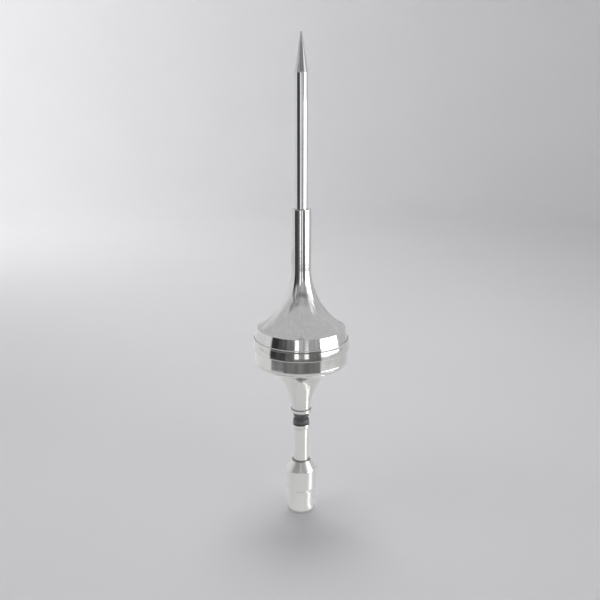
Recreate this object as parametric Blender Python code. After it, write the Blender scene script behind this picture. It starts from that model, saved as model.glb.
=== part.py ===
"""A lightning rod: a pointed rod on a turned steel head, an insulator, a stem and a mast coupling.

Every piece is turned about one upright axis. The origin is the centre of the coupling's mouth, where
the mast comes in, and +Z points up along the rod. Units are metres.
"""

import math

import bmesh
import bpy

# Mast coupling: a turned steel socket that screws down over the top of the mast
MAST_BORE_RADIUS = 0.01515
MAST_BORE_DEPTH = 0.0420
MOUTH_WALL = 0.00335
MOUTH_HEIGHT = 0.0310
STEP_HEIGHT = 0.0045
BODY_WALL = 0.00565
BODY_HEIGHT = 0.0265
CONED_HEIGHT = 0.0123
TOP_LAND = 0.0007
COUPLING_EDGE = 0.0007
STEM_SEAT_DEPTH = 0.0120

# Stem: a steel tube with a wider head turned on its upper end
STEM_RADIUS = 0.0104
STEM_LENGTH = 0.0459
HEAD_STEP = 0.0015
HEAD_HEIGHT = 0.0044
HEAD_TAPER = 0.0014
HEAD_EDGE = 0.0006

# Insulator: a turned bush with a round belly, a waist and a straight lip
LIP_RADIUS = 0.0103
LIP_HEIGHT = 0.0054
WAIST_RADIUS = 0.0085
WAIST_HEIGHT = 0.0036
BELLY_PULL_RADIUS = 0.0114
BELLY_HEIGHT = 0.0080
BELLY_FOOT_RADIUS = 0.0097

# Washer between the insulator and the head
WASHER_OVERHANG = 0.0010
WASHER_THICKNESS = 0.0045
WASHER_EDGE = 0.0005

# Lower shell: a spun bowl that draws in to a trumpet foot, with a sleeve round its rim
FOOT_RADIUS = 0.0127
HIP_RADIUS = 0.0358
HIP_SLOPE = math.radians(28)
TRUMPET_HEIGHT = 0.0528
TRUMPET_FOOT_PULL = 0.43
TRUMPET_HIP_PULL = 0.23
BOWL_HEIGHT = 0.0194
BOWL_HIP_PULL = 1.08
BOWL_SIDE_PULL = 0.545
WALL_HEIGHT = 0.0133
SLEEVE_HEIGHT = 0.0141
SLEEVE_ROLL = 0.0034
SLEEVE_TAPER = 0.0012
SHEET_THICKNESS = 0.0010
SLEEVE_DEPTH = 0.0100

# Upper shell: a spun bell that runs up into the neck, which holds the rod
BARREL_RADIUS = 0.0603
BARREL_TAPER = 0.0032
BARREL_HEIGHT = 0.0135
SHOULDER_ROUND = 0.0010
SHOULDER_SLOPE = math.radians(21)
FLARE_HEIGHT = 0.0764
FLARE_NECK_PULL = 0.54
FLARE_SHOULDER_PULL = 0.16
NECK_WALL = 0.00445
NECK_LENGTH = 0.0763
NECK_EDGE = 0.0007
ROD_SEAT_DEPTH = 0.0350

# Rod: polished round bar with a long cone and a blunt point
ROD_RADIUS = 0.0080
ROD_REACH = 0.2098
CONE_LENGTH = 0.0465
POINT_RADIUS = 0.0012

# Gap kept between pieces that touch, and beside what slides into a seat
TOUCH_GAP = 0.0003
SEAT_GAP = 0.0003

# Sides of the turned shapes, and points along their curves
SHELL_SIDES = 60
FITTING_SIDES = 40
FLARE_STEPS = 12
BOWL_STEPS = 8
TRUMPET_STEPS = 8
ROUND_STEPS = 3
BELLY_STEPS = 4

# Radii that follow
MOUTH_RADIUS = MAST_BORE_RADIUS + MOUTH_WALL
BODY_RADIUS = MAST_BORE_RADIUS + BODY_WALL
STEM_SEAT_RADIUS = STEM_RADIUS + SEAT_GAP
HEAD_RADIUS = STEM_RADIUS + HEAD_STEP
WASHER_RADIUS = FOOT_RADIUS + WASHER_OVERHANG
SLEEVE_INSIDE_RADIUS = BARREL_RADIUS + SEAT_GAP
SHOULDER_RADIUS = BARREL_RADIUS - BARREL_TAPER
ROD_SEAT_RADIUS = ROD_RADIUS + SEAT_GAP
NECK_RADIUS = ROD_SEAT_RADIUS + NECK_WALL

# Heights that follow, from the mast up
STEP_TOP_Z = MOUTH_HEIGHT + STEP_HEIGHT
BODY_TOP_Z = STEP_TOP_Z + BODY_HEIGHT
COUPLING_TOP_Z = BODY_TOP_Z + CONED_HEIGHT
STEM_SEAT_Z = COUPLING_TOP_Z - STEM_SEAT_DEPTH
HEAD_FOOT_Z = COUPLING_TOP_Z + STEM_LENGTH
HEAD_TOP_Z = HEAD_FOOT_Z + HEAD_TAPER + HEAD_HEIGHT
INSULATOR_FOOT_Z = HEAD_TOP_Z + TOUCH_GAP
INSULATOR_TOP_Z = INSULATOR_FOOT_Z + BELLY_HEIGHT + WAIST_HEIGHT + LIP_HEIGHT
WASHER_FOOT_Z = INSULATOR_TOP_Z + TOUCH_GAP
WASHER_TOP_Z = WASHER_FOOT_Z + WASHER_THICKNESS
FOOT_Z = WASHER_TOP_Z + TOUCH_GAP
HIP_Z = FOOT_Z + TRUMPET_HEIGHT
WALL_FOOT_Z = HIP_Z + BOWL_HEIGHT
SLEEVE_FOOT_Z = WALL_FOOT_Z + WALL_HEIGHT
SLEEVE_TOP_Z = SLEEVE_FOOT_Z + SLEEVE_HEIGHT
SLEEVE_FLOOR_Z = SLEEVE_TOP_Z - SLEEVE_DEPTH
BARREL_TOP_Z = SLEEVE_TOP_Z + BARREL_HEIGHT
NECK_FOOT_Z = BARREL_TOP_Z + FLARE_HEIGHT
NECK_TOP_Z = NECK_FOOT_Z + NECK_LENGTH
ROD_SOCKET_Z = NECK_TOP_Z - ROD_SEAT_DEPTH
POINT_Z = NECK_TOP_Z + ROD_REACH


def curve(start, start_pull, end_pull, end, steps):
    """Points (radius, height) after start along a cubic curve that is drawn to the two pull points."""
    points = []
    for step in range(1, steps + 1):
        t = step / steps
        weights = ((1 - t) ** 3, 3 * (1 - t) ** 2 * t, 3 * (1 - t) * t ** 2, t ** 3)
        corners = (start, start_pull, end_pull, end)
        radius = sum(weight * corner[0] for weight, corner in zip(weights, corners))
        height = sum(weight * corner[1] for weight, corner in zip(weights, corners))
        points.append((radius, height))
    return points


def rounded(before, corner, after, size, steps):
    """Points (radius, height) that round a corner off, starting and ending size away from it."""
    def towards(point):
        length = math.dist(corner, point)
        return tuple(c + (p - c) * size / length for c, p in zip(corner, point))
    start = towards(before)
    end = towards(after)
    return [start] + curve(start, corner, corner, end, steps)


def turned(name, profile, sides, material):
    """Spins a profile of (radius, height) points, from the axis round to the axis, into a solid."""
    work = bmesh.new()
    verts = [work.verts.new((radius, 0, height)) for radius, height in profile]
    edges = [work.edges.new(pair) for pair in zip(verts[:-1], verts[1:])]
    bmesh.ops.spin(work, geom=verts + edges, cent=(0, 0, 0), axis=(0, 0, 1), angle=math.tau, steps=sides)
    bmesh.ops.remove_doubles(work, verts=work.verts, dist=0.000001)
    bmesh.ops.recalc_face_normals(work, faces=work.faces)
    mesh = bpy.data.meshes.new(name)
    work.to_mesh(mesh)
    work.free()
    mesh.shade_smooth()
    mesh.set_sharp_from_angle(angle=math.radians(30))
    mesh.materials.append(material)
    piece = bpy.data.objects.new(name, mesh)
    bpy.context.scene.collection.objects.link(piece)
    return piece


def finish(name, colour, roughness, metallic):
    """A plain material for one piece."""
    material = bpy.data.materials.new(name)
    material.use_nodes = True
    shader = material.node_tree.nodes["Principled BSDF"]
    shader.inputs["Base Color"].default_value = (*colour, 1)
    shader.inputs["Roughness"].default_value = roughness
    shader.inputs["Metallic"].default_value = metallic
    return material


def mast_coupling():
    """Socket for the mast below, seat for the stem above, with a step and a coned shoulder outside."""
    seat_edge = STEM_SEAT_RADIUS + COUPLING_EDGE
    top = (seat_edge + TOP_LAND, COUPLING_TOP_Z)
    shoulder = (BODY_RADIUS, BODY_TOP_Z)
    step_top = (BODY_RADIUS, STEP_TOP_Z)
    step_foot = (MOUTH_RADIUS, MOUTH_HEIGHT)
    rim = (MOUTH_RADIUS, 0)
    bore_rim = (MAST_BORE_RADIUS, 0)
    bore_floor = (MAST_BORE_RADIUS, MAST_BORE_DEPTH)
    profile = [(0, STEM_SEAT_Z), (STEM_SEAT_RADIUS, STEM_SEAT_Z)]
    profile += [(STEM_SEAT_RADIUS, COUPLING_TOP_Z - COUPLING_EDGE), (seat_edge, COUPLING_TOP_Z), top]
    profile += rounded(top, shoulder, step_top, 2 * COUPLING_EDGE, ROUND_STEPS)
    profile += [step_top, step_foot]
    profile += rounded(step_foot, rim, bore_rim, COUPLING_EDGE, 1)
    profile += rounded(rim, bore_rim, bore_floor, COUPLING_EDGE / 2, 1)
    profile += [bore_floor, (0, MAST_BORE_DEPTH)]
    steel = finish("coupling_steel", (0.72, 0.72, 0.71), 0.16, 1)
    return turned("mast_coupling", profile, FITTING_SIDES, steel)


def stem():
    """Tube seated in the coupling, with a head that tapers down into it."""
    stem_foot_z = STEM_SEAT_Z + TOUCH_GAP
    head_top = (HEAD_RADIUS, HEAD_TOP_Z)
    head_foot = (HEAD_RADIUS, HEAD_FOOT_Z + HEAD_TAPER)
    neck = (STEM_RADIUS, HEAD_FOOT_Z)
    profile = [(0, HEAD_TOP_Z)]
    profile += rounded((0, HEAD_TOP_Z), head_top, head_foot, HEAD_EDGE, 1)
    profile += rounded(head_top, head_foot, neck, HEAD_EDGE, 1)
    profile += [neck, (STEM_RADIUS, stem_foot_z), (0, stem_foot_z)]
    steel = finish("stem_steel", (0.73, 0.73, 0.72), 0.15, 1)
    return turned("stem", profile, FITTING_SIDES, steel)


def insulator():
    """Bush with a straight lip under the washer, a waist, and a round belly on the stem's head."""
    lip_foot_z = INSULATOR_TOP_Z - LIP_HEIGHT
    waist = (WAIST_RADIUS, lip_foot_z - WAIST_HEIGHT / 2)
    belly_top = (WAIST_RADIUS, lip_foot_z - WAIST_HEIGHT)
    belly_foot = (BELLY_FOOT_RADIUS, INSULATOR_FOOT_Z)
    high_pull = (BELLY_PULL_RADIUS, belly_top[1])
    low_pull = (BELLY_PULL_RADIUS, INSULATOR_FOOT_Z)
    profile = [(0, INSULATOR_TOP_Z), (LIP_RADIUS, INSULATOR_TOP_Z), (LIP_RADIUS, lip_foot_z)]
    profile += [waist, belly_top]
    profile += curve(belly_top, high_pull, low_pull, belly_foot, BELLY_STEPS)
    profile += [(0, INSULATOR_FOOT_Z)]
    plastic = finish("insulator_plastic", (0.045, 0.045, 0.048), 0.35, 0)
    return turned("insulator", profile, FITTING_SIDES, plastic)


def washer():
    """Flat steel disc between the insulator and the foot of the head."""
    top = (WASHER_RADIUS, WASHER_TOP_Z)
    foot = (WASHER_RADIUS, WASHER_FOOT_Z)
    profile = [(0, WASHER_TOP_Z)]
    profile += rounded((0, WASHER_TOP_Z), top, foot, WASHER_EDGE, 1)
    profile += rounded(top, foot, (0, WASHER_FOOT_Z), WASHER_EDGE, 1)
    profile += [(0, WASHER_FOOT_Z)]
    steel = finish("washer_steel", (0.71, 0.71, 0.70), 0.16, 1)
    return turned("washer", profile, FITTING_SIDES, steel)


def lower_shell():
    """Sleeve that takes the upper shell's rim, then the bowl's wall, its bottom and the trumpet foot."""
    lip_outside = SLEEVE_INSIDE_RADIUS + SHEET_THICKNESS
    lip = SHEET_THICKNESS / 4
    slope = (math.cos(HIP_SLOPE), math.sin(HIP_SLOPE))
    hip = (HIP_RADIUS, HIP_Z)
    wall_foot = (BARREL_RADIUS, WALL_FOOT_Z)
    foot = (FOOT_RADIUS, FOOT_Z)
    roll_start = (SLEEVE_INSIDE_RADIUS + lip, SLEEVE_TOP_Z)
    roll_corner = (lip_outside, SLEEVE_TOP_Z - SLEEVE_ROLL / 4)
    roll_end = (lip_outside, SLEEVE_TOP_Z - SLEEVE_ROLL)
    outwards = BOWL_HIP_PULL * (BARREL_RADIUS - HIP_RADIUS)
    inwards = TRUMPET_HIP_PULL * (HIP_RADIUS - FOOT_RADIUS)
    side_pull = (BARREL_RADIUS, WALL_FOOT_Z - BOWL_SIDE_PULL * BOWL_HEIGHT)
    bottom_pull = (HIP_RADIUS + outwards * slope[0], HIP_Z + outwards * slope[1])
    hip_pull = (HIP_RADIUS - inwards * slope[0], HIP_Z - inwards * slope[1])
    foot_pull = (FOOT_RADIUS, FOOT_Z + TRUMPET_FOOT_PULL * TRUMPET_HEIGHT)
    profile = [(0, SLEEVE_FLOOR_Z), (SLEEVE_INSIDE_RADIUS, SLEEVE_FLOOR_Z)]
    profile += [(SLEEVE_INSIDE_RADIUS, SLEEVE_TOP_Z - lip), roll_start]
    profile += curve(roll_start, roll_corner, roll_corner, roll_end, ROUND_STEPS)
    profile += [(lip_outside + SLEEVE_TAPER, SLEEVE_FOOT_Z)]
    profile += [(BARREL_RADIUS, SLEEVE_FOOT_Z - SHEET_THICKNESS), wall_foot]
    profile += curve(wall_foot, side_pull, bottom_pull, hip, BOWL_STEPS)
    profile += curve(hip, hip_pull, foot_pull, foot, TRUMPET_STEPS)
    profile += [(0, FOOT_Z)]
    steel = finish("lower_shell_steel", (0.70, 0.70, 0.69), 0.14, 1)
    return turned("lower_shell", profile, SHELL_SIDES, steel)


def upper_shell():
    """Neck with its seat for the rod, the bell's flare, a crisp shoulder and the barrel below it."""
    neck_foot = (NECK_RADIUS, NECK_FOOT_Z)
    shoulder = (SHOULDER_RADIUS, BARREL_TOP_Z)
    barrel_foot = (BARREL_RADIUS, SLEEVE_TOP_Z)
    rim_foot_z = SLEEVE_FLOOR_Z + TOUCH_GAP
    slope = (math.cos(SHOULDER_SLOPE), math.sin(SHOULDER_SLOPE))
    reach = FLARE_SHOULDER_PULL * math.dist(neck_foot, shoulder)
    neck_pull = (NECK_RADIUS, NECK_FOOT_Z - FLARE_NECK_PULL * FLARE_HEIGHT)
    shoulder_pull = (SHOULDER_RADIUS - reach * slope[0], BARREL_TOP_Z + reach * slope[1])
    flare = curve(neck_foot, neck_pull, shoulder_pull, shoulder, FLARE_STEPS)
    profile = [(0, ROD_SOCKET_Z), (ROD_SEAT_RADIUS, ROD_SOCKET_Z)]
    profile += [(ROD_SEAT_RADIUS, NECK_TOP_Z - NECK_EDGE)]
    profile += [(ROD_SEAT_RADIUS + NECK_EDGE, NECK_TOP_Z)]
    profile += [(NECK_RADIUS - NECK_EDGE, NECK_TOP_Z)]
    profile += [(NECK_RADIUS, NECK_TOP_Z - NECK_EDGE), neck_foot]
    profile += flare[:-1]
    profile += rounded(flare[-2], shoulder, barrel_foot, SHOULDER_ROUND, ROUND_STEPS)
    profile += [barrel_foot, (BARREL_RADIUS, rim_foot_z), (0, rim_foot_z)]
    steel = finish("upper_shell_steel", (0.68, 0.68, 0.68), 0.17, 1)
    return turned("upper_shell", profile, SHELL_SIDES, steel)


def rod():
    """Round bar seated in the neck, with a long cone that ends in a small ball."""
    cone_foot_z = POINT_Z - CONE_LENGTH
    cone_angle = math.atan2(ROD_RADIUS - POINT_RADIUS, CONE_LENGTH - POINT_RADIUS)
    foot_z = ROD_SOCKET_Z + TOUCH_GAP
    profile = [(0, POINT_Z)]
    for step in range(1, ROUND_STEPS + 1):
        angle = (math.pi / 2 - cone_angle) * step / ROUND_STEPS
        profile.append((POINT_RADIUS * math.sin(angle), POINT_Z - POINT_RADIUS * (1 - math.cos(angle))))
    profile += [(ROD_RADIUS, cone_foot_z), (ROD_RADIUS, foot_z), (0, foot_z)]
    steel = finish("rod_steel", (0.66, 0.66, 0.67), 0.08, 1)
    return turned("rod", profile, FITTING_SIDES, steel)


for old in list(bpy.data.objects):
    bpy.data.objects.remove(old)
for make in (mast_coupling, stem, insulator, washer, lower_shell, upper_shell, rod):
    make()
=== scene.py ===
import math

import bmesh
import bpy
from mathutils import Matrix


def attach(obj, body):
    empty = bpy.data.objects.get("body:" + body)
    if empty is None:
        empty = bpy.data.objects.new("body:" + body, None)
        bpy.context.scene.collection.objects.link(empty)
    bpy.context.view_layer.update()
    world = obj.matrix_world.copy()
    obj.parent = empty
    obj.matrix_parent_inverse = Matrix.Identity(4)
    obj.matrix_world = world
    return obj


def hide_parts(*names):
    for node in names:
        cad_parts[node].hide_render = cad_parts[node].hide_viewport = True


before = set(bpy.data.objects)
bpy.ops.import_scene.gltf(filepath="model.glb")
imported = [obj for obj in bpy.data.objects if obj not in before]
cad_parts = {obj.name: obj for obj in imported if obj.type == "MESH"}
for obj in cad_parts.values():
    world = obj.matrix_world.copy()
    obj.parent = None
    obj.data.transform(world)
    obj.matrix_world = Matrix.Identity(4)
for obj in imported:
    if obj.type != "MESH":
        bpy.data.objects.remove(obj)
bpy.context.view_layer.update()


# Mast coupling
# A socket turned from stainless bar, which screws down over the top of the mast. It has a step outside,
# a coned shoulder and a seat on top for the stem. It is turned, then polished round and round.
MAST_BORE_RADIUS = 0.01515
MAST_BORE_DEPTH = 0.0420
MOUTH_RADIUS = 0.0185
MOUTH_HEIGHT = 0.0310
STEP_TOP_Z = 0.0355
BODY_RADIUS = 0.0208
BODY_TOP_Z = 0.0620
COUPLING_TOP_Z = 0.0743
COUPLING_EDGE = 0.0007
TOP_LAND = 0.0007
STEM_RADIUS = 0.0104
STEM_SEAT_DEPTH = 0.0120
SEAT_GAP = 0.0003
FITTING_SIDES = 160
EDGE_STEPS = 6
CREASE_ANGLE = math.radians(32)
MERGE_DISTANCE = 0.000001
FITTING_TINTS = ((0.74, 0.74, 0.73), (0.80, 0.80, 0.79))
FITTING_STREAK = 0.75


def curve(start, start_pull, end_pull, end, steps):
    """Points (radius, height) after start along a cubic curve that is drawn to the two pull points."""
    corners = (start, start_pull, end_pull, end)
    points = []
    for step in range(1, steps + 1):
        t = step / steps
        shares = ((1 - t) ** 3, 3 * (1 - t) ** 2 * t, 3 * (1 - t) * t ** 2, t ** 3)
        points.append(tuple(sum(s * value for s, value in zip(shares, values)) for values in zip(*corners)))
    return points


def rounded(before, corner, after, size, steps=EDGE_STEPS):
    """Points (radius, height) that round a corner off, starting and ending size away from it."""
    def towards(point):
        length = math.dist(corner, point)
        return tuple(c + (p - c) * size / length for c, p in zip(corner, point))
    start = towards(before)
    end = towards(after)
    return [start] + curve(start, corner, corner, end, steps)


def spun_mesh(name, profile, sides, inwards=False):
    """A mesh made by spinning a profile of (radius, height) points round the object's axis."""
    work = bmesh.new()
    verts = [work.verts.new((radius, 0, height)) for radius, height in profile]
    edges = [work.edges.new(pair) for pair in zip(verts[:-1], verts[1:])]
    bmesh.ops.spin(work, geom=verts + edges, cent=(0, 0, 0), axis=(0, 0, 1), angle=math.tau, steps=sides)
    bmesh.ops.remove_doubles(work, verts=work.verts, dist=MERGE_DISTANCE)
    bmesh.ops.recalc_face_normals(work, faces=work.faces)
    if inwards:
        bmesh.ops.reverse_faces(work, faces=work.faces)
    mesh = bpy.data.meshes.new(name)
    work.to_mesh(mesh)
    work.free()
    mesh.shade_smooth()
    return mesh


def turned(name, profile, sides, node, material):
    """Spins a profile into the piece that stands for a CAD node."""
    mesh = spun_mesh(name, profile, sides)
    mesh.set_sharp_from_angle(angle=CREASE_ANGLE)
    mesh.materials.append(material)
    piece = bpy.data.objects.new(name, mesh)
    bpy.context.scene.collection.objects.link(piece)
    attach(piece, "root")
    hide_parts(node)


class Wire:
    """A socket of a material. Sums on it add Math nodes, and node() adds any other node."""

    def __init__(self, tree, socket=None):
        self.tree = tree
        self.socket = socket

    def node(self, kind, settings, inputs, output=0):
        """Adds a node with its settings and its inputs' values or wires, and gives one of its outputs."""
        made = self.tree.nodes.new(kind)
        for key, value in settings.items():
            setattr(made, key, value)
        for key, value in inputs.items():
            if isinstance(value, Wire):
                self.tree.links.new(value.socket, made.inputs[key])
            else:
                made.inputs[key].default_value = value
        return Wire(self.tree, made.outputs[output])

    def maths(self, operation, *values):
        return self.node("ShaderNodeMath", {"operation": operation}, dict(enumerate(values)))

    def __add__(self, other):
        return self.maths("ADD", self, other)

    def __sub__(self, other):
        return self.maths("SUBTRACT", self, other)

    def __rsub__(self, other):
        return self.maths("SUBTRACT", other, self)

    def __mul__(self, other):
        return self.maths("MULTIPLY", self, other)

    def __abs__(self):
        return self.maths("ABSOLUTE", self)

    __radd__ = __add__
    __rmul__ = __mul__

    def band(self, low, high):
        """0 below low, 1 above high, and a smooth rise between them."""
        inputs = {"Value": self, "From Min": low, "From Max": high}
        return self.node("ShaderNodeMapRange", {"interpolation_type": "SMOOTHSTEP"}, inputs)

    def noise(self, vector, scale=1.0, detail=2.0, roughness=0.5):
        """Noise from 0 to 1 on a vector, with features about 1 / scale metres long."""
        inputs = {"Vector": vector, "Scale": scale, "Detail": detail, "Roughness": roughness}
        return self.node("ShaderNodeTexNoise", {}, inputs)

    def stretched(self, vector, scales):
        """A vector with each of its three numbers multiplied by its own scale."""
        return self.node("ShaderNodeVectorMath", {"operation": "MULTIPLY"}, {0: vector, 1: scales})

    def height(self, vector):
        return self.node("ShaderNodeSeparateXYZ", {}, {0: vector}, "Z")

    def blend(self, mask, low, high):
        """A colour that goes from low, where the mask is 0, to high, where it is 1."""
        # A Mix node's inputs 6 and 7 and its output 2 are the ones for colours.
        return self.node("ShaderNodeMix", {"data_type": "RGBA"}, {0: mask, 6: low, 7: high}, 2)


def new_material(name):
    """A new material, a wire to add its nodes with, and the place of each point on the piece."""
    material = bpy.data.materials.new(name)
    material.use_nodes = True
    wire = Wire(material.node_tree)
    return material, wire, wire.node("ShaderNodeTexCoord", {}, {}, "Object")


def connect(material, colour, rough, relief=None):
    """Feeds a colour, a roughness and a relief in metres to the material's shader, and gives the shader."""
    tree = material.node_tree
    shader = tree.nodes["Principled BSDF"]
    tree.links.new(colour.socket, shader.inputs["Base Color"])
    tree.links.new(rough.socket, shader.inputs["Roughness"])
    if relief:
        bump = relief.node("ShaderNodeBump", {}, {"Strength": 1.0, "Distance": 1.0, "Height": relief})
        tree.links.new(bump.socket, shader.inputs["Normal"])
    return shader


HUNDREDTH_MM = 0.00001
FINE_RINGS = (12, 12, 2600)
BROAD_RINGS = (6, 6, 420)
SMEAR_STRETCH = (1, 1, 0.45)
SMEAR_SCALE = 55.0
CLOUD_SCALE = 21.0
SPECK_SCALE = 900.0
SPECK_DEPTH = 0.25
SPECK_SHADES = (0.55, 0.54, 0.52)
RING_ROUGHNESS = 0.04
SEAM_SHADE_AND_GRIME_DEPTH = 0.7
SEAM_SHADE_AND_GRIME_TONES = (0.40, 0.39, 0.37)
GRIME_ROUGHNESS = 0.12
STROKE_STRETCH = (1, 1, 0.06)
STROKE_SCALE = 260.0
STROKE_DEPTH = 0.35
STROKE_SHADES = (1.12, 1.12, 1.12)
STROKE_ROUGHNESS = 0.10


def shaded(tint, shades):
    """A tint with each of its three colours multiplied by its own shade."""
    return (*(colour * shade for colour, shade in zip(tint, shades)), 1)


def steel(name, tints, roughness, lathe, waves, wave_length, spun=0.0, drawn=0.0, streak=0.0, shaded_seams=()):
    """Stainless steel in a dark and a light tint, with cloudy patches, smears and specks.

    roughness is (polished, smeared). lathe, waves, spun and drawn are the depths of the fine rings, of the
    slow waves, of the broad rings and of the strokes along the piece, in hundredths of a millimetre. streak
    draws a gleam out along the piece. In shaded_seams each (height, reach) is a dark band where parts meet:
    painted shade, together with the polish and dirt that have stayed there, which also make the band
    rougher.
    """
    dark, light = tints
    polished, smeared = roughness
    material, wire, place = new_material(name)
    height = wire.height(place)
    rings = wire.noise(wire.stretched(place, FINE_RINGS), 1.0, 3.0, 0.6)
    broad_rings = wire.noise(wire.stretched(place, BROAD_RINGS))
    smears = wire.noise(wire.stretched(place, SMEAR_STRETCH), SMEAR_SCALE, 4.0, 0.6).band(0.42, 0.68)
    cloud = wire.noise(place, CLOUD_SCALE, 3.0, 0.55).band(0.3, 0.7)
    specks = wire.noise(place, SPECK_SCALE).band(0.66, 0.78)
    tint = wire.blend(cloud * 0.65 + broad_rings * 0.35, (*dark, 1), (*light, 1))
    tint = wire.blend(specks * SPECK_DEPTH, tint, shaded(dark, SPECK_SHADES))
    rough = polished + smears * (smeared - polished) + (rings - 0.5) * (RING_ROUGHNESS * lathe)
    # Each seam gets a dark band of painted shade mixed with grime, and a rougher polish.
    for seam_height, reach in shaded_seams:
        near = 1 - abs(height - seam_height).band(reach * 0.3, reach)
        tint = wire.blend(near * SEAM_SHADE_AND_GRIME_DEPTH, tint, shaded(dark, SEAM_SHADE_AND_GRIME_TONES))
        rough = rough + near * GRIME_ROUGHNESS
    relief = rings * (HUNDREDTH_MM * lathe) + broad_rings * (HUNDREDTH_MM * spun)
    if drawn:
        strokes = wire.noise(wire.stretched(place, STROKE_STRETCH), STROKE_SCALE, 3.0, 0.6)
        bright = strokes.band(0.45, 0.75) * (STROKE_DEPTH * drawn)
        tint = wire.blend(bright, tint, shaded(light, STROKE_SHADES))
        rough = rough + (strokes - 0.5) * (STROKE_ROUGHNESS * drawn)
        relief = relief + strokes * (HUNDREDTH_MM * drawn)
    relief = relief + wire.noise(place, 1 / wave_length, 1.0, 0.4) * (HUNDREDTH_MM * waves)
    shader = connect(material, tint, rough, relief)
    shader.inputs["Metallic"].default_value = 1
    shader.inputs["Anisotropic"].default_value = streak
    shader.inputs["Anisotropic Rotation"].default_value = 0.25
    return material


seat_radius = STEM_RADIUS + SEAT_GAP
seat_floor_z = COUPLING_TOP_Z - STEM_SEAT_DEPTH
seat_edge = seat_radius + COUPLING_EDGE
top = (seat_edge + TOP_LAND, COUPLING_TOP_Z)
shoulder = (BODY_RADIUS, BODY_TOP_Z)
step_top = (BODY_RADIUS, STEP_TOP_Z)
step_foot = (MOUTH_RADIUS, MOUTH_HEIGHT)
rim = (MOUTH_RADIUS, 0)
bore_rim = (MAST_BORE_RADIUS, 0)
bore_floor = (MAST_BORE_RADIUS, MAST_BORE_DEPTH)
profile = [(0, seat_floor_z), (seat_radius, seat_floor_z)]
profile += rounded((seat_radius, seat_floor_z), (seat_radius, COUPLING_TOP_Z), top, COUPLING_EDGE)
profile += rounded((seat_edge, COUPLING_TOP_Z), top, shoulder, COUPLING_EDGE / 2)
profile += rounded(top, shoulder, step_top, 2 * COUPLING_EDGE)
profile += rounded(shoulder, step_top, step_foot, COUPLING_EDGE)
profile += rounded(step_top, step_foot, rim, COUPLING_EDGE)
profile += rounded(step_foot, rim, bore_rim, COUPLING_EDGE)
profile += rounded(rim, bore_rim, bore_floor, COUPLING_EDGE / 2)
profile += [bore_floor, (0, MAST_BORE_DEPTH)]
coupling_steel = steel("coupling_steel", FITTING_TINTS, (0.22, 0.28), lathe=0.8, waves=0.12,
                       wave_length=0.008, streak=FITTING_STREAK, shaded_seams=((COUPLING_TOP_Z, 0.0016),))
turned("coupling_turned", profile, FITTING_SIDES, "mast_coupling", coupling_steel)


# Stem
# A stainless tube, seated in the coupling, with a wider head turned on its upper end that carries the
# insulator. It is polished along its length.
STEM_LENGTH = 0.0459
HEAD_RADIUS = 0.0119
HEAD_HEIGHT = 0.0044
HEAD_TAPER = 0.0014
HEAD_EDGE = 0.0006
TOUCH_GAP = 0.0003

stem_foot_z = seat_floor_z + TOUCH_GAP
taper_foot_z = COUPLING_TOP_Z + STEM_LENGTH
head_top_z = taper_foot_z + HEAD_TAPER + HEAD_HEIGHT
head_top = (HEAD_RADIUS, head_top_z)
head_foot = (HEAD_RADIUS, taper_foot_z + HEAD_TAPER)
taper_foot = (STEM_RADIUS, taper_foot_z)
stem_foot = (STEM_RADIUS, stem_foot_z)
profile = [(0, head_top_z)]
profile += rounded((0, head_top_z), head_top, head_foot, HEAD_EDGE)
profile += rounded(head_top, head_foot, taper_foot, HEAD_EDGE)
profile += rounded(head_foot, taper_foot, stem_foot, HEAD_EDGE)
profile += [stem_foot, (0, stem_foot_z)]
stem_steel = steel("stem_steel", FITTING_TINTS, (0.18, 0.27), lathe=0.5, waves=0.25, wave_length=0.006,
                   streak=FITTING_STREAK, shaded_seams=((COUPLING_TOP_Z, 0.0018), (taper_foot_z, 0.0006)))
turned("stem_turned", profile, FITTING_SIDES, "stem", stem_steel)


# Insulator
# A bush turned from dark grey plastic, with a round belly on the stem's head, a waist, and a straight
# lip under the washer. It keeps the steel above it apart from the steel below.
LIP_RADIUS = 0.0103
LIP_HEIGHT = 0.0054
LIP_EDGE = 0.0005
WAIST_RADIUS = 0.0085
WAIST_HEIGHT = 0.0036
BELLY_PULL_RADIUS = 0.0114
BELLY_HEIGHT = 0.0080
BELLY_FOOT_RADIUS = 0.0097
BELLY_STEPS = 24
TOOL_LINES = (30, 30, 1900)
TOOL_LINE_DEPTH = 0.00003
DUST_SCALE = 420.0
DARK_GREY = (0.105, 0.105, 0.108, 1)
MID_GREY = (0.150, 0.150, 0.155, 1)
DUST_GREY = (0.26, 0.26, 0.26, 1)

insulator_foot_z = head_top_z + TOUCH_GAP
insulator_top_z = insulator_foot_z + BELLY_HEIGHT + WAIST_HEIGHT + LIP_HEIGHT
waist_top_z = insulator_top_z - LIP_HEIGHT
belly_top_z = waist_top_z - WAIST_HEIGHT
lip_top = (LIP_RADIUS, insulator_top_z)
lip_foot = (LIP_RADIUS, waist_top_z)
waist = (WAIST_RADIUS, waist_top_z - WAIST_HEIGHT / 2)
belly_top = (WAIST_RADIUS, belly_top_z)
belly_top_pull = (BELLY_PULL_RADIUS, belly_top_z)
belly_foot_pull = (BELLY_PULL_RADIUS, insulator_foot_z)
belly_foot = (BELLY_FOOT_RADIUS, insulator_foot_z)
profile = [(0, insulator_top_z)]
profile += rounded((0, insulator_top_z), lip_top, lip_foot, LIP_EDGE)
profile += rounded(lip_top, lip_foot, waist, LIP_EDGE)
profile += rounded(lip_foot, waist, belly_top, WAIST_HEIGHT / 4)
profile += [belly_top]
profile += curve(belly_top, belly_top_pull, belly_foot_pull, belly_foot, BELLY_STEPS)
profile += [(0, insulator_foot_z)]

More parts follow.
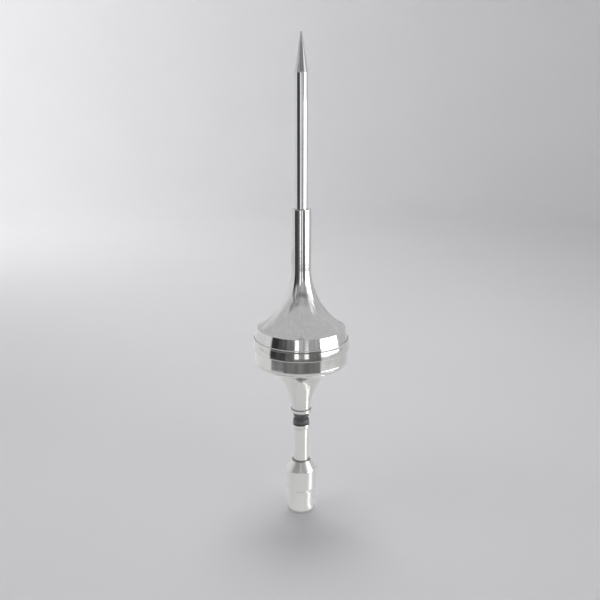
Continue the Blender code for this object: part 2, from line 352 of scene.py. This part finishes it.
insulator_plastic, wire, place = new_material("insulator_plastic")
tool_lines = wire.noise(wire.stretched(place, TOOL_LINES), 1.0, 2.0, 0.6)
dust = wire.noise(place, DUST_SCALE, 3.0, 0.6).band(0.52, 0.75)
grey = wire.blend(tool_lines, DARK_GREY, MID_GREY)
grey = wire.blend(dust * 0.35, grey, DUST_GREY)
rough = 0.27 + tool_lines * 0.12 + dust * 0.20
connect(insulator_plastic, grey, rough, tool_lines * TOOL_LINE_DEPTH)
turned("insulator_turned", profile, FITTING_SIDES, "insulator", insulator_plastic)


# Washer
# A flat stainless washer, turned and polished, clamped between the insulator and the foot of the head.
WASHER_RADIUS = 0.0137
WASHER_THICKNESS = 0.0045
WASHER_EDGE = 0.0005
WASHER_TINTS = ((0.69, 0.69, 0.68), (0.75, 0.75, 0.74))

washer_foot_z = insulator_top_z + TOUCH_GAP
washer_top_z = washer_foot_z + WASHER_THICKNESS
washer_top = (WASHER_RADIUS, washer_top_z)
washer_foot = (WASHER_RADIUS, washer_foot_z)
profile = [(0, washer_top_z)]
profile += rounded((0, washer_top_z), washer_top, washer_foot, WASHER_EDGE)
profile += rounded(washer_top, washer_foot, (0, washer_foot_z), WASHER_EDGE)
profile += [(0, washer_foot_z)]
washer_steel = steel("washer_steel", WASHER_TINTS, (0.14, 0.26), lathe=0.8, waves=0.5, wave_length=0.004,
                     shaded_seams=((washer_top_z, 0.0008),))
turned("washer_turned", profile, FITTING_SIDES, "washer", washer_steel)


# Lower shell
# The bowl of the head, spun from stainless sheet and mirror polished. It draws in to a trumpet foot, and
# its rim is opened into a sleeve with a rolled lip that takes the upper shell.
FOOT_RADIUS = 0.0127
HIP_RADIUS = 0.0358
HIP_SLOPE = math.radians(28)
TRUMPET_HEIGHT = 0.0528
TRUMPET_FOOT_PULL = 0.43
TRUMPET_HIP_PULL = 0.23
BOWL_HEIGHT = 0.0194
BOWL_HIP_PULL = 1.08
BOWL_SIDE_PULL = 0.545
BOWL_STEPS = 56
WALL_HEIGHT = 0.0133
SLEEVE_HEIGHT = 0.0141
SLEEVE_ROLL = 0.0034
SLEEVE_TAPER = 0.0012
SLEEVE_BULGE = 0.0002
SLEEVE_DEPTH = 0.0100
SLEEVE_STEPS = 16
SHEET_THICKNESS = 0.0010
LIP_ROUND = SHEET_THICKNESS / 4
SLEEVE_EDGE = SHEET_THICKNESS * 1.1
TUCK_EDGE = SHEET_THICKNESS / 3
BARREL_RADIUS = 0.0603
SHELL_SIDES = 240
LOWER_TINTS = ((0.68, 0.68, 0.67), (0.74, 0.74, 0.73))
SHELL_ROUGHNESS = (0.09, 0.15)

foot_z = washer_top_z + TOUCH_GAP
hip_z = foot_z + TRUMPET_HEIGHT
wall_foot_z = hip_z + BOWL_HEIGHT
sleeve_foot_z = wall_foot_z + WALL_HEIGHT
sleeve_top_z = sleeve_foot_z + SLEEVE_HEIGHT
sleeve_floor_z = sleeve_top_z - SLEEVE_DEPTH
sleeve_inside = BARREL_RADIUS + SEAT_GAP
lip_outside = sleeve_inside + SHEET_THICKNESS
slope = (math.cos(HIP_SLOPE), math.sin(HIP_SLOPE))
outwards = BOWL_HIP_PULL * (BARREL_RADIUS - HIP_RADIUS)
inwards = TRUMPET_HIP_PULL * (HIP_RADIUS - FOOT_RADIUS)
hip = (HIP_RADIUS, hip_z)
wall_foot = (BARREL_RADIUS, wall_foot_z)
foot = (FOOT_RADIUS, foot_z)
side_pull = (BARREL_RADIUS, wall_foot_z - BOWL_SIDE_PULL * BOWL_HEIGHT)
bottom_pull = (HIP_RADIUS + outwards * slope[0], hip_z + outwards * slope[1])
hip_pull = (HIP_RADIUS - inwards * slope[0], hip_z - inwards * slope[1])
foot_pull = (FOOT_RADIUS, foot_z + TRUMPET_FOOT_PULL * TRUMPET_HEIGHT)
lip_inside = (sleeve_inside, sleeve_top_z - LIP_ROUND)
roll_start = (sleeve_inside + LIP_ROUND, sleeve_top_z)
roll_corner = (lip_outside, sleeve_top_z - SLEEVE_ROLL / 4)
roll_end = (lip_outside, sleeve_top_z - SLEEVE_ROLL)
sleeve_foot = (lip_outside + SLEEVE_TAPER, sleeve_foot_z)
tuck = (BARREL_RADIUS, sleeve_foot_z - SHEET_THICKNESS)
# A curve whose two pulls are one point comes three quarters of the way to it.
bulge = (lip_outside + SLEEVE_TAPER / 2 + SLEEVE_BULGE * 4 / 3, (roll_end[1] + sleeve_foot_z) / 2)
profile = [(0, sleeve_floor_z), (sleeve_inside, sleeve_floor_z), lip_inside, roll_start]
profile += curve(roll_start, roll_corner, roll_corner, roll_end, SLEEVE_STEPS)
profile += curve(roll_end, bulge, bulge, sleeve_foot, SLEEVE_STEPS)[:-1]
profile += rounded(bulge, sleeve_foot, tuck, SLEEVE_EDGE)
profile += rounded(sleeve_foot, tuck, wall_foot, TUCK_EDGE)
profile += [wall_foot]
profile += curve(wall_foot, side_pull, bottom_pull, hip, BOWL_STEPS)
profile += curve(hip, hip_pull, foot_pull, foot, BOWL_STEPS)
profile += [(0, foot_z)]
lower_shell_steel = steel("lower_shell_steel", LOWER_TINTS, SHELL_ROUGHNESS, lathe=0.15, waves=3.0,
                          wave_length=0.016, spun=2.0, shaded_seams=((foot_z, 0.0006),))
turned("lower_shell_spun", profile, SHELL_SIDES, "lower_shell", lower_shell_steel)


# Upper shell
# The bell and the neck, spun from stainless sheet. Its barrel stands in the lower shell's sleeve, and a
# crisp shoulder turns into the flare, which runs up into the neck that holds the rod.
BARREL_TAPER = 0.0032
BARREL_HEIGHT = 0.0135
SHOULDER_ROUND = 0.0010
SHOULDER_STEPS = 10
SHOULDER_SLOPE = math.radians(21)
FLARE_HEIGHT = 0.0764
FLARE_NECK_PULL = 0.54
FLARE_SHOULDER_PULL = 0.16
FLARE_STEPS = 90
NECK_RADIUS = 0.01275
NECK_LENGTH = 0.0763
NECK_EDGE = 0.0007
ROD_RADIUS = 0.0080
ROD_SEAT_DEPTH = 0.0350
CREASE_PARTS = 40
UPPER_TINTS = ((0.66, 0.66, 0.66), (0.72, 0.72, 0.72))

barrel_top_z = sleeve_top_z + BARREL_HEIGHT
neck_foot_z = barrel_top_z + FLARE_HEIGHT
neck_top_z = neck_foot_z + NECK_LENGTH
socket_z = neck_top_z - ROD_SEAT_DEPTH
rim_foot_z = sleeve_floor_z + TOUCH_GAP
rod_seat = ROD_RADIUS + SEAT_GAP
neck_foot = (NECK_RADIUS, neck_foot_z)
neck_top = (NECK_RADIUS, neck_top_z)
seat_top = (rod_seat, neck_top_z)
shoulder = (BARREL_RADIUS - BARREL_TAPER, barrel_top_z)
barrel_foot = (BARREL_RADIUS, sleeve_top_z)
slope = (math.cos(SHOULDER_SLOPE), math.sin(SHOULDER_SLOPE))
reach = FLARE_SHOULDER_PULL * math.dist(neck_foot, shoulder)
neck_pull = (NECK_RADIUS, neck_foot_z - FLARE_NECK_PULL * FLARE_HEIGHT)
shoulder_pull = (shoulder[0] - reach * slope[0], barrel_top_z + reach * slope[1])
flare = curve(neck_foot, neck_pull, shoulder_pull, shoulder, FLARE_STEPS)
# Points just above and below the barrel's foot keep the shading crisp where its taper starts.
above_crease = (BARREL_RADIUS - BARREL_TAPER / CREASE_PARTS, sleeve_top_z + BARREL_HEIGHT / CREASE_PARTS)
below_crease = (BARREL_RADIUS, sleeve_top_z - BARREL_HEIGHT / CREASE_PARTS)
profile = [(0, socket_z), (rod_seat, socket_z)]
profile += rounded((rod_seat, socket_z), seat_top, neck_top, NECK_EDGE)
profile += rounded(seat_top, neck_top, neck_foot, NECK_EDGE)
profile += [neck_foot]
profile += [point for point in flare if math.dist(point, shoulder) > SHOULDER_ROUND]
profile += rounded(flare[-2], shoulder, barrel_foot, SHOULDER_ROUND, SHOULDER_STEPS)
profile += [above_crease, barrel_foot, below_crease, (BARREL_RADIUS, rim_foot_z), (0, rim_foot_z)]
upper_shell_steel = steel("upper_shell_steel", UPPER_TINTS, SHELL_ROUGHNESS, lathe=0.2, waves=2.5,
                          wave_length=0.018, spun=2.0, drawn=1.0, streak=0.6)
turned("upper_shell_spun", profile, SHELL_SIDES, "upper_shell", upper_shell_steel)


# Rod
# Round stainless bar, 16 mm across, set into the neck and ground to a long cone with a blunt point. It is
# polished along its length to a mirror.
ROD_REACH = 0.2098
CONE_LENGTH = 0.0465
CONE_ROUND = 0.0012
POINT_RADIUS = 0.0012
POINT_STEPS = 8
ROD_SIDES = 128
ROD_TINTS = ((0.64, 0.64, 0.65), (0.70, 0.70, 0.71))

point_z = neck_top_z + ROD_REACH
rod_foot_z = socket_z + TOUCH_GAP
cone_foot = (ROD_RADIUS, point_z - CONE_LENGTH)
rod_foot = (ROD_RADIUS, rod_foot_z)
cone_angle = math.atan2(ROD_RADIUS - POINT_RADIUS, CONE_LENGTH - POINT_RADIUS)
profile = [(0, point_z)]
for step in range(1, POINT_STEPS + 1):
    angle = (math.pi / 2 - cone_angle) * step / POINT_STEPS
    profile.append((POINT_RADIUS * math.sin(angle), point_z - POINT_RADIUS * (1 - math.cos(angle))))
profile += rounded(profile[-1], cone_foot, rod_foot, CONE_ROUND)
profile += [rod_foot, (0, rod_foot_z)]
rod_steel = steel("rod_steel", ROD_TINTS, (0.06, 0.11), lathe=0.15, waves=0.15, wave_length=0.01,
                  shaded_seams=((neck_top_z, 0.0005),))
turned("rod_turned", profile, ROD_SIDES, "rod", rod_steel)


# Studio floor
# A pale matt sheet that lies flat under the object and sweeps up into a wall all round it.
MIDDLE_RADIUS = 0.3
FLOOR_RADIUS = 2.6
SWEEP_RADIUS = 1.2
SWEEP_STEPS = 24
WALL_RADIUS = FLOOR_RADIUS + SWEEP_RADIUS
WALL_TOP = 3.2
FLOOR_SIDES = 96
PAPER_TINTS = ((0.78, 0.78, 0.79, 1), (0.81, 0.81, 0.82, 1))
PATCH_SCALE = 3.0
TOOTH_SCALE = 600.0

floor_pull = (FLOOR_RADIUS + 0.55 * SWEEP_RADIUS, 0)
wall_pull = (WALL_RADIUS, 0.45 * SWEEP_RADIUS)
profile = [(0, 0), (MIDDLE_RADIUS, 0), (FLOOR_RADIUS, 0)]
profile += curve((FLOOR_RADIUS, 0), floor_pull, wall_pull, (WALL_RADIUS, SWEEP_RADIUS), SWEEP_STEPS)
profile += [(WALL_RADIUS, WALL_TOP)]
floor = bpy.data.objects.new("floor", spun_mesh("floor", profile, FLOOR_SIDES, inwards=True))
bpy.context.scene.collection.objects.link(floor)
floor_paper, wire, place = new_material("floor_paper")
tooth = wire.noise(place, TOOTH_SCALE, 2.0, 0.6)
paper = wire.blend(wire.noise(place, PATCH_SCALE), *PAPER_TINTS)
connect(floor_paper, paper, 0.80 + tooth * 0.15).inputs["Specular IOR Level"].default_value = 0
floor.data.materials.append(floor_paper)


# Studio light
# A dim sky and four soft lamps light the floor, its wall and the insulator. The polish mirrors panels that
# nothing else sees: dark flags with bright gaps between them on the left, a soft box on the right, small
# gleams, pale sheets over the floor, and a pale room behind them all.
SKY_COLOUR = (0.38, 0.38, 0.39, 1)
SKY_STRENGTH = 0.85

scene = bpy.context.scene
sky = bpy.data.worlds.new("sky")
sky.use_nodes = True
sky.node_tree.nodes["Background"].inputs["Color"].default_value = SKY_COLOUR
sky.node_tree.nodes["Background"].inputs["Strength"].default_value = SKY_STRENGTH
scene.world = sky


def soft_light(name, place, size, power, aim=(0, 0, 0.25), beam=180):
    """A square area light, size metres wide, that shines at a point and that the polish doesn't mirror."""
    lamp = bpy.data.lights.new(name, "AREA")
    lamp.size = size
    lamp.energy = power
    lamp.spread = math.radians(beam)
    lit = bpy.data.objects.new(name, lamp)
    lit.location = place
    x, y, z = (end - start for end, start in zip(aim, place))
    lit.rotation_euler = (math.atan2(math.hypot(x, y), -z), 0, math.atan2(y, x) - math.pi / 2)
    lit.visible_glossy = False
    scene.collection.objects.link(lit)


soft_light("key_light", (1.6, -1.2, 2.4), 1.5, 4)
soft_light("fill_light", (-2.0, -0.6, 2.2), 2.0, 9)
soft_light("back_light", (0.0, 0.60, 2.0), 1.0, 6, aim=(0, -0.1, 0), beam=120)
soft_light("wall_light", (-1.6, 1.4, 1.9), 1.2, 38, aim=(-0.9, 3.8, 0.9))

PANEL_STEP = 4
PANEL_PATCHES = (5.0, 5.0, 2.5)


def reflector(name, left, right, outline, brightness, fade=None, mottle=0.35):
    """A panel that only the polish sees: an outline of (distance, height) points, swept round the object.

    left and right are angles in degrees, from the camera's side. fade is (low, high, brightness above it).
    mottle is how uneven the panel is, from 0 to 1.
    """
    steps = max(2, math.ceil((right - left) / PANEL_STEP))
    across = steps + 1
    verts = []
    for distance, height in outline:
        for step in range(across):
            angle = math.radians(left + (right - left) * step / steps)
            verts.append((distance * math.sin(angle), -distance * math.cos(angle), height))
    faces = []
    for row in range(len(outline) - 1):
        for first in range(row * across, row * across + steps):
            faces.append((first, first + 1, first + across + 1, first + across))
    mesh = bpy.data.meshes.new(name)
    mesh.from_pydata(verts, [], faces)
    panel = bpy.data.objects.new(name, mesh)
    scene.collection.objects.link(panel)
    for seen in ("camera", "diffuse", "shadow", "transmission", "volume_scatter"):
        setattr(panel, "visible_" + seen, False)
    glow, wire, place = new_material(name)
    level = brightness
    if fade:
        low, high, faded = fade
        level = brightness + wire.height(place).band(low, high) * (faded - brightness)
    patches = wire.noise(wire.stretched(place, PANEL_PATCHES), 1.0, 3.0, 0.6).band(0.3, 0.7)
    level = (patches * (2 * mottle) + (1 - mottle)) * level
    light = wire.node("ShaderNodeEmission", {}, {"Color": level})
    glow.node_tree.nodes.remove(glow.node_tree.nodes["Principled BSDF"])
    glow.node_tree.links.new(light.socket, glow.node_tree.nodes["Material Output"].inputs["Surface"])
    mesh.materials.append(glow)


FAR = 2.4
FLAG_TOP = 2.4
FLAG_Z = 0.002
STRIP_Z = 0.003
SHEET_Z = 0.0015
SHEET_HOLE = 0.022
MAT_START = 0.50
SHEET_END = 1.55
LEFT_FLAG = 0.95
MIDDLE_FLAG = 1.5
RIGHT_FLAG = 2.0
CARD_DISTANCE = 1.6
BOX_DISTANCE = 1.2
GLEAM_DISTANCE = 0.08
GLEAM_FOOT = 0.045
CONE_FLAG_DISTANCE = 0.09
ROOM_RADIUS = 3.5
ROOM_HEIGHT = 3.0
ROOM_GAP = 0.01


def flat(near, far, height):
    """The outline of a panel that lies flat, from near to far."""
    return (near, height), (far, height)


def upright(distance, low, high):
    """The outline of a panel that stands at a distance."""
    return (distance, low), (distance, high)


def flag(start):
    """The outline of a flag that lies low over the floor from start outwards and stands up far away."""
    return (start, FLAG_Z), (FAR, FLAG_Z), (FAR, FLAG_TOP)


room = ((ROOM_RADIUS, ROOM_GAP), (ROOM_RADIUS, ROOM_HEIGHT), (ROOM_GAP, ROOM_HEIGHT))
reflector("pale_card_left", -150, -77, upright(CARD_DISTANCE, 0.02, 1.9), 0.82, (0.62, 1.2, 0.60), 0.1)
reflector("dark_flag_far_left", -75, -58, flag(LEFT_FLAG), 0.035, (0.62, 1.4, 0.34))
reflector("dark_flag_left", -58, -36, flag(LEFT_FLAG), 0.07, (0.58, 0.85, 0.38), 0.5)
reflector("dark_flag_mid_left", -36, -15, flag(LEFT_FLAG), 0.14, (0.54, 0.85, 0.38), 0.5)
reflector("bright_slot_left", -48, -42, upright(2.3, 0.75, 1.5), 0.9)
reflector("mat_far_left", -75, -42, flat(0.60, LEFT_FLAG, FLAG_Z), 0.20)
reflector("mat_left", -42, -14, flat(MAT_START, LEFT_FLAG, FLAG_Z), 0.20)
reflector("mat_middle", -14, 17, flat(MAT_START, MIDDLE_FLAG, FLAG_Z), 0.20)
reflector("mat_right", 17, 46, flat(MAT_START, RIGHT_FLAG, FLAG_Z), 0.17)
reflector("gap_strip_left", -15, -6, flag(MIDDLE_FLAG), 1.9, (0.65, 0.9, 0.50), 0.25)
reflector("grey_gap", -6, 8, flag(MIDDLE_FLAG), 0.36, (0.30, 0.56, 0.50), 0.3)
reflector("gap_strip_right", 8, 17, flag(MIDDLE_FLAG), 1.4, (0.45, 0.6, 0.55), 0.3)
reflector("dark_flag_right", 18, 46, flag(RIGHT_FLAG), 0.19, (0.30, 0.56, 0.48), 0.2)
reflector("upper_flag", -60, 44, upright(2.38, 1.25, 1.62), 0.26)
reflector("upper_streak", -76, -62, upright(2.36, 1.25, 1.70), 0.75)
reflector("soft_box_right", 47, 97, upright(BOX_DISTANCE, 0.09, 0.52), 4.0, mottle=0.1)
reflector("soft_box_shoulder", 53, 98, upright(BOX_DISTANCE, 0.52, 0.72), 2.4, mottle=0.3)
reflector("soft_box_top", 58, 88, upright(BOX_DISTANCE, 0.72, 1.0), 1.5, mottle=0.4)
reflector("soft_box_tip", 62, 76, upright(BOX_DISTANCE, 1.0, 1.35), 1.1, mottle=0.4)
reflector("table_edge", 48, 102, flat(0.52, 0.60, STRIP_Z), 1.9)
reflector("gleam_on_washer", 64, 90, flat(0.335, 0.40, STRIP_Z), 1.5)
reflector("gleam_on_insulator", 64, 80, upright(GLEAM_DISTANCE, 0.094, 0.113), 9.0)
reflector("gleam_on_stem", 59, 86, upright(GLEAM_DISTANCE, 0.036, 0.090), 1.35)
reflector("gleam_on_coupling", 56, 79, upright(GLEAM_DISTANCE, 0.002, 0.033), 1.2)
reflector("gleam_at_foot", 51, 74, flat(GLEAM_FOOT, GLEAM_DISTANCE, STRIP_Z), 1.15)
reflector("gleam_at_base", 42, 63, flat(SHEET_HOLE, GLEAM_FOOT, STRIP_Z), 1.1)
reflector("cone_flag_left", -58, -14, upright(CONE_FLAG_DISTANCE, 0.140, 0.159), 0.05)
reflector("cone_flag_right", 9, 24, upright(CONE_FLAG_DISTANCE, 0.140, 0.159), 0.06)
reflector("pale_sheet", -180, 180, flat(SHEET_HOLE, MAT_START, SHEET_Z), 0.70, mottle=0.06)
reflector("pale_sheet_left", -180, -76, flat(MAT_START, SHEET_END, SHEET_Z), 0.82, mottle=0.06)
reflector("pale_sheet_right", 47, 180, flat(MAT_START, SHEET_END, SHEET_Z), 0.66, mottle=0.06)
reflector("pale_room", -180, 180, room, 0.61, mottle=0.08)
reflector("pale_card_right", 100, 150, upright(CARD_DISTANCE, 0.02, 1.4), 0.62, mottle=0.1)


# Camera
# It stands in front of the object and looks a little down at it, and the object fills the upright middle.
CAMERA_PLACE = (-0.0015, -0.9881, 0.5706)
CAMERA_PITCH = 15.5
LENS_MM = 48
SENSOR_MM = 36

camera_data = bpy.data.cameras.new("camera")
camera_data.lens = LENS_MM
camera_data.sensor_width = SENSOR_MM
camera = bpy.data.objects.new("camera", camera_data)
camera.location = CAMERA_PLACE
camera.rotation_euler = (math.radians(90 - CAMERA_PITCH), 0, 0)
scene.collection.objects.link(camera)
scene.camera = camera
scene.view_settings.view_transform = "Standard"
